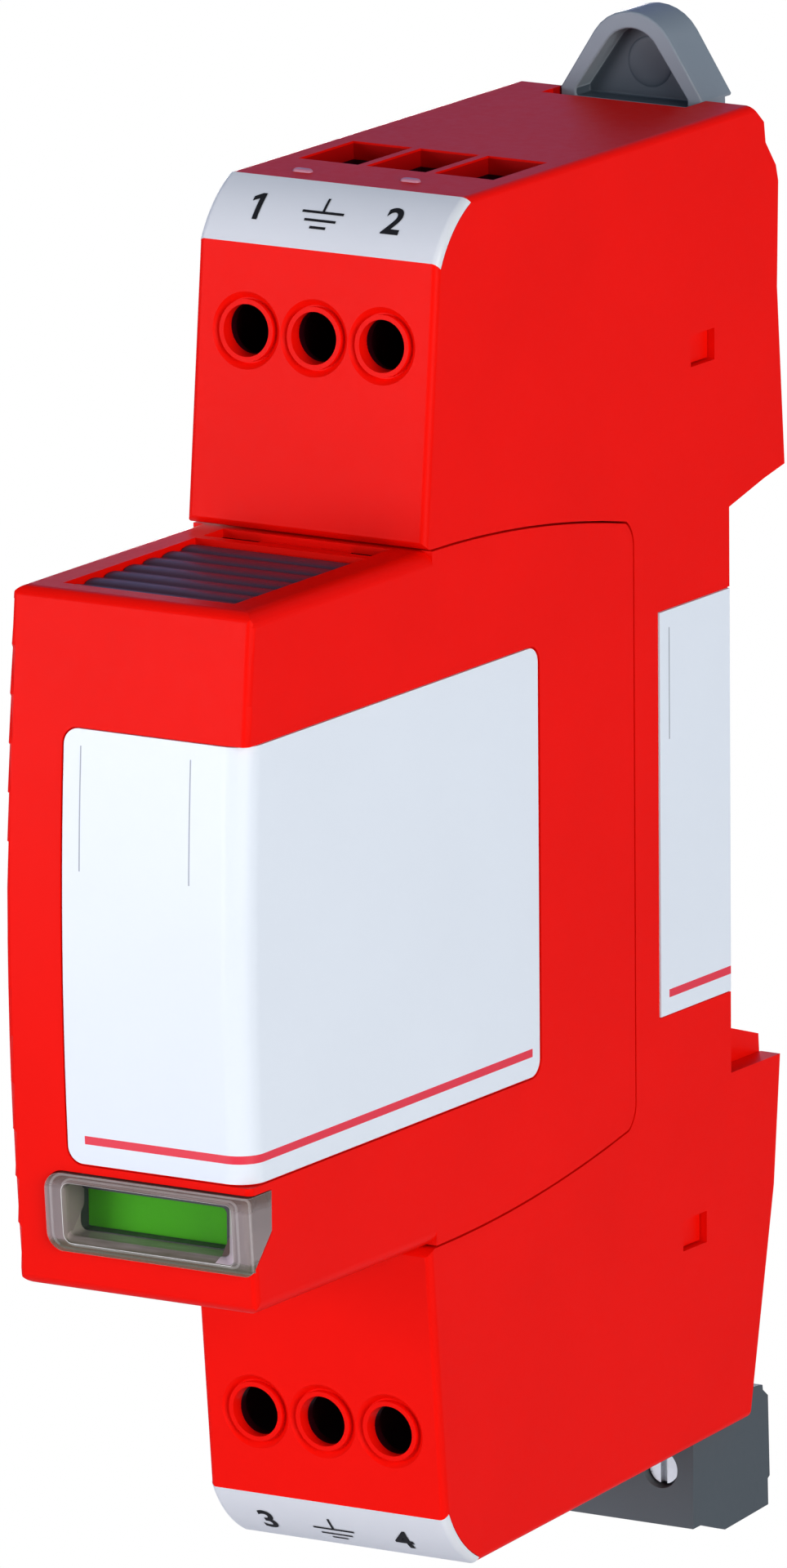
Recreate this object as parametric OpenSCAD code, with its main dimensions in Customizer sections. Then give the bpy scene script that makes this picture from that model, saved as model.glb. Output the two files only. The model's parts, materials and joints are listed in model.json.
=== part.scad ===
// Two-pole plug-in surge arrester for a 35 mm top-hat rail, one module wide.
// Frame: X across the width, -Y to the front, +Z up.
// Origin: middle of the rail seat, where the body rests on the rail's front face.

/* [Body] */
// Width of the body across the rail
body_w = 18; // [17.8:0.1:22]
// Height of the base from its top face to its lowest front edge
body_h = 90; // [88:0.5:100]
// Distance from the rail seat to the lower edge of the terminal blocks' front faces
block_reach = 37.9; // [36:0.1:42]
// How far the front faces of the terminal blocks lean back over their height
block_lean = 1.8; // [0.5:0.1:3]
// Height and depth of the sloping field for the marker strips
strip_drop = 3.7; // [3:0.1:4.5]
// Rise of the base's underside from the front to the back
bottom_rise = 2; // [0:0.1:3]
// Thickness of the moulded outer walls
wall = 1.5; // [1.2:0.05:1.8]
// Radius of the base's outer edges
edge_r = 0.5; // [0.3:0.1:0.9]

/* [Protection module] */
// Height of the module at its front
module_h = 45.6; // [44:0.1:47]
// Distance from the rail seat to the crown of the module's front face
module_reach = 59.9; // [57:0.1:66]
// Distance from the rail seat to the module's rear face
module_rear = 12.2; // [11.8:0.1:13]
// Radius of the crowned front face
front_r = 203; // [150:1:400]
// Radius of the curved seams that narrow the module to the rear
seam_r = 120; // [105:1:200]
// Distance from the rail seat to where the seams start to curve
seam_start = 38; // [36:0.1:40]
// Rounding of the module's rear corners
rear_corner_r = 2; // [1:0.1:3]
// Rounding of the module's left and right front edges
module_edge_r = 0.5; // [0.3:0.1:0.9]
// Rounding of the module's top and bottom edges in front of the base
module_top_r = 1; // [0.5:0.1:1.4]
// Gap between the module and its bay
bay_gap = 0.15; // [0.1:0.01:0.3]
// Thickness of the bay's walls
bay_wall = 1.2; // [1:0.05:1.5]
// Wall of the module's housing
module_wall = 1.4; // [1.2:0.05:1.6]

/* [Release buttons] */
// Distance from the rail seat to the rear end of the release buttons
button_rear = 41; // [40.5:0.1:42]
// Length of the upper release button along the module
button_len = 15.5; // [12:0.1:16]
// Length of the lower release button, which ends behind the status window
lower_button_len = 12; // [9:0.1:12.5]
// Width of a release button
button_w = 12.6; // [10:0.1:13.4]
// Depth of the button's face below the module's top
button_sink = 0.3; // [0.2:0.05:0.8]
// Thickness of the button's plate
button_t = 1.2; // [0.8:0.05:1.5]
// Travel of the button when pressed
button_stroke = 1.2; // [0.8:0.05:1.5]
// Spacing of the button's grip ribs
rib_pitch = 2.3; // [1.8:0.1:3]
// Height of the button's grip ribs
rib_h = 0.45; // [0.2:0.05:0.6]

/* [Status window] */
// Width of the clear window from its left end to the module's right side
window_w = 15.35; // [12:0.05:16]
// Height of the clear window
window_h = 5.2; // [4.5:0.1:5.4]
// Distance of the window's middle below the module's middle
window_drop = 17.5; // [17.3:0.1:18.2]
// How far the window wraps onto the module's right side
window_wrap = 2; // [1:0.1:2.4]
// Rounding of the window's left corners
window_corner_r = 1.2; // [0.5:0.1:2]
// How far the window stands proud of the module
window_proud = 0.4; // [0.1:0.05:0.5]
// Width of the flag
flag_w = 10.7; // [8:0.1:11.5]
// Height of the flag's coloured field
flag_h = 3.4; // [2.5:0.1:4]

/* [Labels] */
// Height of the module's label
label_h = 28.6; // [24:0.1:29]
// Width of the label's part on the front face
label_front = 13.8; // [10:0.1:14.5]
// Depth of the label's part on the right side, from the front crown
label_side = 36; // [28:0.1:38]
// Depth of the label recess
label_recess = 0.3; // [0.2:0.05:0.4]
// Thickness of the labels
label_t = 0.22; // [0.1:0.02:0.3]
// Rounding of the label's corners
label_corner_r = 1.2; // [0.5:0.1:2]
// Radius at which the label bends round the front edge
label_bend_r = 1.8; // [1:0.1:2.5]
// Height of the label on the base's side
base_label_h = 27; // [20:0.5:28]
// Width of the label on the base's side
base_label_w = 8.9; // [6:0.1:9.2]

/* [Terminals] */
// Thickness of the walls between the terminals
pole_wall = 0.6; // [0.4:0.05:0.9]
// Distance of the screws below the top face
screw_drop = 9.3; // [8.6:0.1:10]
// Diameter of the screwdriver holes in the front faces
driver_d = 3.4; // [3:0.1:3.6]
// Diameter of the terminal screws
screw_d = 2.9; // [2.5:0.1:3]
// Length of the terminal screws
screw_len = 5.4; // [5.2:0.1:6]
// Distance from the outer wire funnels to the side walls
funnel_side = 0.15; // [0.1:0.05:0.3]
// Depth of a wire funnel from front to back
funnel_len = 6.7; // [6:0.1:7]
// Distance from the terminal blocks' front to the middle of the wire funnels
funnel_set = 14.7; // [14.1:0.1:15]
// Clear space for the wire in an open clamp
clamp_open = 3; // [2.6:0.1:3.4]
// Thickness of the busbar strip
bar_t = 0.8; // [0.6:0.05:1]
// Width of the busbar strip
bar_w = 2.8; // [2.2:0.1:3]
// Height of the outer contacts above and below the middle
contact_z = 8; // [6:0.1:10]

/* [Rail foot] */
// Width of the top-hat rail
rail_w = 35; // [34.8:0.1:35.2]
// Thickness of the rail's flanges, with the room to slip over them
rail_slot = 1.3; // [1.1:0.1:1.6]
// Half-width of the rail latch
latch_half_w = 5.4; // [4.8:0.1:5.5]
// Thickness of the rail latch
latch_t = 3; // [2.5:0.1:3.1]
// Height of the latch's pull loop above the top face
loop_rise = 5.5; // [4:0.1:8]
// Travel of the latch when it is pulled up
latch_travel = 3; // [2:0.1:3.2]

/* [Signal plug] */
// Distance of the signal plug's ends from the body's sides
signal_inset = 1.38; // [1.2:0.02:1.6]
// Depth of the signal plug from front to back
signal_d = 9.9; // [9.5:0.1:11]
// Height of the signal plug's front face
signal_h = 6.2; // [5.6:0.1:8]

/* [Hidden] */

$fn = 48;
eps = 0.01;
far = 200;

// Body: heights and the places of the outline's corners
half_w = body_w / 2;
half_h = body_h / 2;
inner_half_w = half_w - wall;
fit_gap = 0.1;
block_top_y = -(block_reach - block_lean);
strip_top_y = block_top_y + strip_drop;
block_low_z = module_h / 2 + bay_gap;
lean_slope = block_lean / (half_h - strip_drop - block_low_z);
rail_room = 1.4;
back_z = rail_w / 2 + rail_room;
back_y = 7.1;
back_mid_y = 6.2;
back_step_y = 4.6;
back_low_y = 2.3;
ledge_z = -(rail_w / 2 + rail_room + 0.2);
ledge_y = 6.3;
back_chamfer = 1.5;
foot_h = 3;
foot_slope_z = ledge_z - 8.7;
back_rise = 13.6;

// Outline of the base seen from the right, anticlockwise from the lowest front edge
base_outline = [
    [strip_top_y, -half_h],
    [back_low_y, -half_h + bottom_rise],
    [back_low_y + 0.6, -half_h + bottom_rise + foot_h],
    [ledge_y - 0.85, foot_slope_z],
    [ledge_y, ledge_z],
    [0, ledge_z],
    [0, back_z],
    [4.5, back_z + 1.1],
    [back_y, back_z + 1.6],
    [back_mid_y, back_z + back_rise],
    [back_mid_y + 0.2, half_h - 5.5],
    [back_mid_y - 0.1, half_h - 4.4],
    [back_step_y + 0.2, half_h - 2.7],
    [back_step_y, half_h - 1.3],
    [back_step_y - back_chamfer, half_h],
    [strip_top_y, half_h],
    [block_top_y, half_h - strip_drop],
    [-block_reach, block_low_z],
    [-block_reach, -block_low_z],
    [block_top_y, -half_h + strip_drop]
];

// Places along the depth inside the base
bay_back_y = -module_rear + bay_gap + bay_wall;
funnel_y = block_reach - funnel_set;
funnel_w = (2 * inner_half_w - 2 * pole_wall - 2 * funnel_side) / 3;
pole_pitch = funnel_w + pole_wall;
seat_t = 1.5;
carrier_t = 1.1;
carrier_z = [ledge_z + 1, back_z - 1];
leaf_t = 0.5;
leaf_play = 0.1;
blade_play = 0.6;
drop_front_y = -seat_t - carrier_t - bar_t;
tongue_y = -funnel_y - clamp_open / 2 - bar_t;
run_drop = 17.5;
run_z = half_h - run_drop;

// Clamp cages, measured from the busbar's tongue
cage_front_t = 2.2;
cage_rear_t = 1;
cage_side_t = 0.55;
cage_h = 5.6;
cage_slack = 0.5;
cage_w = funnel_w - 2 * fit_gap;
screw_z = half_h - screw_drop;
run_fit = 0.05;

// Label on the base's side
base_label_recess = 0.15;
base_label_y = [-0.1 - base_label_w, -0.1];

// Module: places of the openings in its skin
module_half_h = module_h / 2;
button_rear_y = -button_rear;
trench_y = [-seam_start - 2.1, -seam_start + 0.3];
trench_depth = 0.5;
trench_slot_w = 2.9;
button_floor = module_half_h - button_sink - rib_h - button_t - button_stroke - 0.2;
crown_y = -module_reach;
window_left_x = half_w - window_w;
window_front_y = crown_y + (window_drop + window_h / 2) * (window_drop + window_h / 2) / (2 * front_r);
window_seat_y = window_front_y + window_wrap;
label_left_x = half_w - label_front;
label_gap = 0.12;
label_end_y = crown_y + label_side;
window_frame_t = 0.8;
flag_t = 0.8;
flag_front_y = window_seat_y + window_frame_t + fit_gap;
board_front_y = flag_front_y + flag_t + fit_gap;
blade_root = 7;
board_back_y = -module_rear - blade_root;
board_mid_y = (board_front_y + board_back_y) / 2;
board_t = 1.6;
plate_share = 0.75;
plate_t = 3.2;

// Parts on the module's board
gas_r = 4;
gas_rim = 0.2;
gas_len = half_w - module_wall - board_t / 2 - 0.8;
gas_band = 1;
gas_y = board_mid_y + 7;
varistor_r = 6.5;
varistor_t = 4.2;
varistor_y = board_mid_y + 3;
varistor_z = varistor_r + 1;

// Rail latch and its channel in the rear cover
channel_floor_y = 2.65;
latch_front_y = channel_floor_y + fit_gap;
latch_back_y = latch_front_y + latch_t;
latch_nose_z = rail_w / 2 - 1.3;
latch_nose_drop = 0.3;
latch_room = 3;
loop_round = 0.63;
loop_rim = 1.15;
spring_lug_t = 1.5;
latch_window_low = 17;
latch_window_high = 4.5;
latch_window_z = [half_h - latch_window_low, half_h - latch_window_high];
spring_lug_z = half_h - 7;
spring_r = 1.15;
spring_wire = 0.5;
spring_turns = 6;

// Rail seat: its land stops short of the hook and the latch
hook_z = -rail_w / 2 + 0.8;
seat_relief = 0.3;
seat_land_z = [hook_z + seat_relief, latch_nose_z - latch_nose_drop - seat_relief];

// Signal plug
signal_half_w = half_w - signal_inset;
signal_pitch = 2 * signal_half_w / 3;
signal_screw_r = 1.1;
signal_hole_r = 1.3;
signal_cell_w = 3.7;
signal_clamp_w = signal_cell_w - 2 * fit_gap;
signal_clamp_t = 0.5;
signal_pin_w = 0.9;
signal_pin_y = [-0.6, 0.3];
signal_switch_w = 7.4;
signal_switch_d = 7.3;
signal_switch_h = 5;
signal_front_y = back_low_y - 5.05;
signal_top_z = -half_h + bottom_rise - 0.45;
signal_low_z = signal_top_z - signal_h;
signal_screw_z = signal_top_z - 2.4;
signal_tongue_y = [-1.3, 1];
signal_tongue_z = -half_h + 9;

poles = [-pole_pitch, 0, pole_pitch];
blades = [[-pole_pitch, contact_z], [pole_pitch, contact_z], [0, 0],
    [-pole_pitch, -contact_z], [pole_pitch, -contact_z]];

red = "#e0180c";
grey = "#68737a";
dark_grey = "#5a5560";
label_white = "#e3e8f0";
copper = "#c98a55";
steel = "#b9bdc2";
dark_plastic = "#3a3d40";

// Extrudes a section drawn in Y and Z evenly to both sides of X = 0
module along_x(w) {
    rotate([90, 0, 90]) linear_extrude(height = w, center = true) children();
}

// A block between two opposite corners
module block(low, high) {
    translate(low) cube(high - low);
}

// A block centred on X = x, given by its width and its ranges in Y and Z
module slab(x, w, y, z) {
    block([x - w / 2, y[0], z[0]], [x + w / 2, y[1], z[1]]);
}

// A round bar along Y
module bar_y(x, z, r, y) {
    translate([x, y[1], z]) rotate([90, 0, 0]) cylinder(r = r, h = y[1] - y[0]);
}

// Mirrors its children to the lower half when side is -1
module upper_or_lower(side) {
    if (side > 0) children();
    else mirror([0, 0, 1]) children();
}

// Cutter that rounds the two side edges along the outline from p to q
module edge_round(p, q, r) {
    run = norm(q - p);
    for (side = [0, 1]) mirror([side, 0, 0])
        translate([half_w - r, p[0], p[1]])
        rotate([atan2(q[1] - p[1], q[0] - p[0]), 0, 0])
        difference() {
            block([0, -r, -1], [r + 1, run + r, r]);
            translate([0, run + 2 * r, r]) rotate([90, 0, 0]) cylinder(r = r, h = run + 4 * r);
        }
}

// Height of a seam above the middle at depth y, for a profile grown by g
function seam_z(y, g) = module_half_h - seam_r + sqrt(pow(seam_r + g, 2) - pow(y + seam_start, 2));

// Side profile of the module, grown by g on its top, bottom and rear.
// The corner circles stand a little proud of the seams, so that the curves cross cleanly.
corner_lift = 0.12;

module module_profile(g) {
    corner_r = rear_corner_r + g;
    rear_y = -module_rear + g;
    corner_y = rear_y - corner_r;
    corner_z = seam_z(corner_y, g) - corner_r + corner_lift;
    translate([-far / 2 - seam_start, -module_half_h - g]) square([far / 2, module_h + 2 * g]);
    intersection() {
        translate([-seam_start, module_half_h - seam_r]) circle(r = seam_r + g, $fn = 200);
        translate([-seam_start, seam_r - module_half_h]) circle(r = seam_r + g, $fn = 200);
        union() {
            translate([-seam_start - 1, -far / 2]) square([corner_y + seam_start + 1, far]);
            translate([corner_y - 1, -corner_z]) square([corner_r + 1, 2 * corner_z]);
            for (side = [-1, 1]) translate([corner_y, side * corner_z]) circle(r = corner_r);
        }
    }
}

// Crowned front: a ring about the crown's axis, inset by g, with rounded left and right edges
module crowned_front(g, left_r, right_r) {
    outer = front_r - g;
    core_r = front_r - far / 2;
    left = -half_w + g;
    right = half_w - g;
    translate([0, crown_y + front_r, 0]) rotate([0, 90, 0]) rotate_extrude($fn = 400) {
        translate([core_r, left]) square([outer - core_r - max(left_r, right_r), right - left]);
        translate([core_r, left + left_r]) square([outer - core_r, right - left - left_r - right_r]);
        translate([outer - left_r, left + left_r]) circle(r = left_r);
        translate([outer - right_r, right - right_r]) circle(r = right_r);
    }
}

// Cutter that rounds the top edges of the module in front of the base
module module_top_round(r) {
    middle_z = module_half_h - r;
    middle_y = crown_y + front_r - sqrt(pow(front_r - r, 2) - pow(middle_z, 2));
    edge_round([-block_reach - fit_gap, module_half_h], [crown_y, module_half_h], r);
    along_x(body_w + 2) difference() {
        translate([middle_y - far, middle_z]) square(far);
        translate([middle_y, middle_z]) circle(r = r + corner_lift / 4);
    }
}

// Outline of the module's label on the side, drawn in Y and Z and grown by g, with rounded rear corners
module label_outline(g) {
    r = label_corner_r + g;
    high = label_h / 2 + g;
    rear = label_end_y + g;
    translate([-far, -high]) square([far + rear - r, 2 * high]);
    translate([-far, -high + r]) square([far + rear, 2 * (high - r)]);
    for (side = [-1, 1]) translate([rear - r, side * (high - r)]) circle(r = r);
}

// Outline of the module's label on the front, drawn in X and Z and grown by g, with rounded left corners
module label_front_outline(g) {
    r = label_corner_r + g;
    high = label_h / 2 + g;
    left = label_left_x - g;
    translate([left + r, -high]) square([far, 2 * high]);
    translate([left, -high + r]) square([2 * r, 2 * (high - r)]);
    for (side = [-1, 1]) translate([left + r, side * (high - r)]) circle(r = r);
}

// Space of the module's label between the front and the side, grown by g
module label_space(g) {
    intersection() {
        translate([far / 2 + label_left_x - 1, 0, 0]) along_x(far) label_outline(g);
        rotate([90, 0, 0]) linear_extrude(height = far) label_front_outline(g);
    }
}

// Outer form of the module, inset by g
module module_form(g, left_r, right_r) {
    intersection() {
        along_x(body_w - 2 * g) module_profile(-g);
        crowned_front(g, left_r, right_r);
    }
}

// Bed of a marker strip, drawn in Y and Z: the band between the strip's long edges, t deep
strip_a = [block_top_y, half_h - strip_drop];
strip_b = [strip_top_y, half_h];
strip_inward = [strip_b[1] - strip_a[1], strip_a[0] - strip_b[0]] / norm(strip_b - strip_a);
strip_t = 0.9;

module strip_bed(t) {
    polygon([
        strip_a - strip_inward, strip_b - strip_inward,
        strip_b + strip_inward * t, strip_a + strip_inward * t]);
}

// Crowned face of a marker strip, with rounded ends
strip_bow_r = 2.25 * strip_drop;
strip_half_w = norm(strip_b - strip_a) / 2;
strip_centre = (strip_a + strip_b) / 2 + strip_inward * sqrt(pow(strip_bow_r, 2) - pow(strip_half_w, 2));

module strip_crown() {
    translate([0, strip_centre[0], strip_centre[1]]) rotate([0, 90, 0]) rotate_extrude($fn = 200) {
        translate([0, -half_w]) square([strip_bow_r - edge_r, body_w]);
        translate([0, -half_w + edge_r]) square([strip_bow_r, body_w - 2 * edge_r]);
        for (side = [-1, 1])
            translate([strip_bow_r - edge_r, side * (half_w - edge_r)]) circle(r = edge_r);
    }
}

// Side walls that carry the ends of a marker strip, lowered by g
strip_ledge = 0.8;

module strip_walls(g) {
    for (side = [0, 1]) mirror([side, 0, 0])
        translate([half_w - strip_ledge + g, strip_centre[0], strip_centre[1]])
        rotate([0, 90, 0]) cylinder(r = strip_bow_r - edge_r - g, h = half_w);
}

// Closed and open spaces inside the base, drawn in Y and Z
module base_inside() {
    low_back = -half_h + bottom_rise + wall;
    difference() {
        polygon([
            [-block_reach + wall, -block_low_z], [block_top_y + wall, -half_h + strip_drop + 0.6 * wall],
            [strip_top_y + 0.6 * wall, -half_h + wall], [back_low_y, low_back], [far / 2, low_back],
            [far / 2, half_h - wall], [strip_top_y + 0.6 * wall, half_h - wall],
            [block_top_y + wall, half_h - strip_drop - 0.6 * wall], [-block_reach + wall, block_low_z]]);
        module_profile(bay_gap + bay_wall);
    }
}

// Screwdriver hole with its collar and dish, and the wire funnel of one terminal
collar_t = 0.32;
dish_w = 0.5;
dish_floor = 0.1;
dish_depth = 0.4;

module terminal_cuts(x) {
    face_y = -(block_reach - (screw_z - block_low_z) * lean_slope);
    collar_r = driver_d / 2 + collar_t;
    bar_y(x, screw_z, driver_d / 2, [face_y - 1, face_y + wall + 0.5]);
    translate([x, face_y, screw_z]) rotate([90 - atan(lean_slope), 0, 0]) difference() {
        translate([0, 0, -dish_depth])
            cylinder(r1 = collar_r + dish_floor, r2 = collar_r + 2 * dish_w - dish_floor, h = 2 * dish_depth);
        cylinder(r = collar_r, h = 4 * dish_depth, center = true);
    }
    slab(x, funnel_w, [-funnel_y - funnel_len / 2, -funnel_y + funnel_len / 2],
        [half_h - wall - bottom_rise, half_h + 1]);
}

// Cutter for the rounded lower front edge of a terminal block
module block_lip() {
    r = 2 * edge_r;
    difference() {
        translate([-block_reach - 1, block_low_z - 1]) square(r + 1);
        translate([-block_reach + r, block_low_z + r]) circle(r = r + corner_lift / 2);
    }
}

// Walls between the terminals of one block
module pole_walls() {
    for (side = [-1, 1])
        slab(side * pole_pitch / 2, pole_wall, [-block_reach + wall / 2, -funnel_y + funnel_len / 2 + 3],
            [block_low_z + bay_wall / 2, half_h - wall / 2]);
}

// Window in a side wall for a snap nose of the rear cover
snap_size = [3, 2.1];
snap_arm_t = 0.8;
snap_sink = 0.5;
snap_margin = 1.1;
snap_drop = 14.9;
snap_rise = 16.2;
snaps = [[-3.3, half_h - snap_drop], [-4.7, -half_h + snap_rise]];

module base_housing() {
    color(red) difference() {
        union() {
            difference() {
                along_x(body_w) difference() {
                    polygon(base_outline);
                    module_profile(bay_gap);
                    block_lip();
                    mirror([0, 1]) block_lip();
                }
                along_x(2 * inner_half_w) base_inside();
            }
            for (side = [-1, 1]) upper_or_lower(side) intersection() {
                pole_walls();
                along_x(body_w) polygon([[-block_reach, block_low_z], [0, block_low_z], [0, half_h],
                    [strip_top_y, half_h], [block_top_y, half_h - strip_drop]]);
            }
        }
        for (side = [-1, 1]) upper_or_lower(side) {
            for (x = poles) terminal_cuts(x);
            difference() {
                along_x(body_w + 2) strip_bed(strip_t);
                strip_walls(fit_gap / 2);
            }
            edge_round([block_top_y, half_h - strip_drop], [-block_reach, block_low_z], edge_r);
        }
        edge_round([back_step_y - back_chamfer, half_h], [strip_top_y, half_h], edge_r);
        edge_round([strip_top_y, -half_h], [back_low_y, -half_h + bottom_rise], edge_r);
        for (b = blades)
            slab(b[0], bar_w + blade_play, [-module_rear, bay_back_y + 1], [b[1] - bar_t, b[1] + bar_t]);
        for (s = snaps) translate([0, s[0], s[1]])
            cube([body_w + 2, snap_size[0], snap_size[1]], center = true);
        slab(0, 2 * latch_half_w + 2 * fit_gap, [0.5, far / 2], [half_h - wall - eps, half_h + 1]);
        slab(0, 2 * signal_half_w - 1, [signal_tongue_y[0] - 0.3, far / 2],
            [-half_h - 1, -half_h + bottom_rise + wall + 1]);
        block([half_w - base_label_recess, base_label_y[0] - fit_gap, -base_label_h / 2 - fit_gap],
            [half_w + 1, fit_gap, base_label_h / 2 + fit_gap]);
    }
}

module marker_strip(side) {
    color(label_white) upper_or_lower(side) difference() {
        intersection() {
            along_x(body_w) strip_bed(strip_t - fit_gap / 2);
            strip_crown();
        }
        strip_walls(0);
    }
}

module marker_strip_upper() { marker_strip(1); }

module marker_strip_lower() { marker_strip(-1); }

module base_label() {
    inner_x = half_w - base_label_recess;
    color(label_white) block([inner_x, base_label_y[0], -base_label_h / 2],
        [inner_x + label_t, base_label_y[1], base_label_h / 2]);
}

// Snap arm of the rear cover with its nose, on the right side
module snap_arm(place) {
    y = [place[0] - snap_size[0] / 2 + fit_gap, place[0] + snap_size[0] / 2 - fit_gap];
    z = [place[1] - snap_size[1] / 2 + fit_gap, place[1] + snap_size[1] / 2 - fit_gap];
    root_y = place[1] > 0 ? seat_t : ledge_y - 2.3;
    block([inner_half_w - snap_arm_t, y[0], z[0]], [half_w - snap_sink, y[1], z[1]]);
    block([inner_half_w - snap_arm_t, y[0], z[0] - snap_margin],
        [inner_half_w - fit_gap, root_y, z[1] + snap_margin]);
}

// Rear cover: rail seat, fixed hook, latch channel and the walls that close the back
module rear_cover() {
    channel_w = 2 * latch_half_w + 2 * fit_gap;
    hook_root_z = -rail_w / 2 - fit_gap;
    low_z = -half_h + bottom_rise + wall;
    shelf_y = 0.6;
    color(red) difference() {
        union() {
            along_x(2 * (inner_half_w - fit_gap)) polygon([
                [back_low_y - 1, low_z],
                [back_low_y + 0.25, low_z],
                [back_low_y + 0.6, -half_h + bottom_rise + foot_h],
                [ledge_y - 0.85, foot_slope_z],
                [ledge_y, ledge_z],
                [ledge_y - 0.1, hook_z - 1.2],
                [rail_slot + 1, hook_z],
                [rail_slot, hook_z - 0.4],
                [rail_slot, hook_root_z],
                [-seat_relief, hook_root_z],
                [-seat_relief, seat_land_z[0]],
                [0, seat_land_z[0]],
                [0, seat_land_z[1]],
                [-seat_relief, seat_land_z[1]],
                [-seat_relief, back_z],
                [0, back_z],
                [4.5, back_z + 1.1],
                [back_y, back_z + 1.6],
                [back_mid_y, back_z + back_rise],
                [back_mid_y + 0.2, half_h - 5.5],
                [back_mid_y - 0.1, half_h - 4.4],
                [back_step_y + 0.2, half_h - 2.7],
                [back_step_y, half_h - wall - fit_gap],
                [shelf_y, half_h - wall - fit_gap],
                [shelf_y, back_z + wall],
                [-seat_t, back_z + wall],
                [-seat_t, ledge_z - wall],
                [ledge_y - wall, ledge_z - wall],
                [ledge_y - wall - 0.9, foot_slope_z + 0.2],
                [back_low_y - 0.8, -half_h + bottom_rise + foot_h]]);
            for (place = snaps) for (side = [0, 1]) mirror([side, 0, 0]) snap_arm(place);
        }
        slab(0, channel_w, [channel_floor_y, latch_back_y + fit_gap], [0, far / 2]);
        slab(0, 2 * latch_half_w - 2, [latch_back_y, far / 2], [0, far / 2]);
        slab(0, channel_w, [rail_slot - 0.2, latch_back_y + fit_gap],
            [0, back_z + latch_room + 3 * fit_gap + latch_travel]);
    }
    color(red) slab(0, 2 * spring_r + spring_wire, [channel_floor_y - eps, latch_back_y],
        [spring_lug_z, spring_lug_z + spring_lug_t]);
}

// Insulating carrier behind the busbars with walls between the poles
module contact_carrier() {
    color(dark_plastic) {
        slab(0, 2 * (inner_half_w - fit_gap), [-seat_t - carrier_t, -seat_t], carrier_z);
        for (side = [-1, 1])
            slab(side * pole_pitch / 2, pole_wall, [bay_back_y + 0.3, -seat_t - carrier_t], carrier_z);
    }
}

// Fork of two leaves that grips a blade at height z
module contact_fork(x, z) {
    for (side = [-1, 1]) {
        middle = z + side * (bar_t / 2 + leaf_play + leaf_t / 2);
        slab(x, bar_w, [bay_back_y + 0.2, drop_front_y + eps], [middle - leaf_t / 2, middle + leaf_t / 2]);
    }
}

// Tongue in a clamp and the strip from it to the back, for the upper block
module terminal_run(x) {
    slab(x, cage_w - 2 * cage_side_t - 0.4, [tongue_y, tongue_y + bar_t], [run_z, screw_z + cage_h / 2]);
    slab(x, bar_w, [tongue_y, drop_front_y + bar_t], [run_z, run_z + bar_t]);
}

module busbar_line(x, side) {
    color(copper) upper_or_lower(side) {
        terminal_run(x);
        slab(x, bar_w, [drop_front_y, drop_front_y + bar_t],
            [contact_z - bar_t / 2 - leaf_play - leaf_t, run_z + bar_t]);
        contact_fork(x, contact_z);
    }
}

module busbar_line_1() { busbar_line(poles[0], 1); }

module busbar_line_2() { busbar_line(poles[2], 1); }

module busbar_line_3() { busbar_line(poles[0], -1); }

module busbar_line_4() { busbar_line(poles[2], -1); }

module busbar_earth() {
    color(copper) {
        for (side = [-1, 1]) upper_or_lower(side) terminal_run(0);
        slab(0, bar_w, [drop_front_y, drop_front_y + bar_t], [-run_z - bar_t, run_z + bar_t]);
        contact_fork(0, 0);
    }
}

// Slotted clamp screw along Y with its tip on the busbar's tongue
module terminal_screw(i) {
    x = poles[i % 3];
    z = (i < 3 ? 1 : -1) * screw_z;
    head_y = tongue_y - screw_len;
    color(steel) difference() {
        bar_y(x, z, screw_d / 2, [head_y, tongue_y]);
        block([x - 0.3, head_y - 1, z - screw_d], [x + 0.3, head_y + 0.9, z + screw_d]);
    }
}

module terminal_screw_1() { terminal_screw(0); }

module terminal_screw_2() { terminal_screw(1); }

module terminal_screw_3() { terminal_screw(2); }

module terminal_screw_4() { terminal_screw(3); }

module terminal_screw_5() { terminal_screw(4); }

module terminal_screw_6() { terminal_screw(5); }

// Box clamp round the busbar's tongue and the wire, open to the funnel
module clamp_cage(i) {
    x = poles[i % 3];
    z = (i < 3 ? 1 : -1) * screw_z;
    inner_front = tongue_y - cage_slack;
    inner_rear = tongue_y + bar_t + clamp_open;
    color(steel) difference() {
        slab(x, cage_w, [inner_front - cage_front_t, inner_rear + cage_rear_t],
            [z - cage_h / 2, z + cage_h / 2]);
        slab(x, cage_w - 2 * cage_side_t, [inner_front, inner_rear], [z - cage_h, z + cage_h]);
        bar_y(x, z, screw_d / 2 + run_fit, [inner_front - cage_front_t - 1, inner_front + 1]);
    }
}

module clamp_cage_1() { clamp_cage(0); }

module clamp_cage_2() { clamp_cage(1); }

module clamp_cage_3() { clamp_cage(2); }

module clamp_cage_4() { clamp_cage(3); }

module clamp_cage_5() { clamp_cage(4); }

module clamp_cage_6() { clamp_cage(5); }

// Arch of the pull loop, drawn in X and Z
module loop_arch(inset) {
    crown_r = latch_half_w * loop_round;
    crown_z = half_h + loop_rise - crown_r;
    foot_half = latch_half_w - inset;
    hull() {
        translate([0, crown_z]) circle(r = crown_r - inset, $fn = 32);
        translate([-foot_half, half_h - 2]) square([2 * foot_half, 2]);
    }
}

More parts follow.
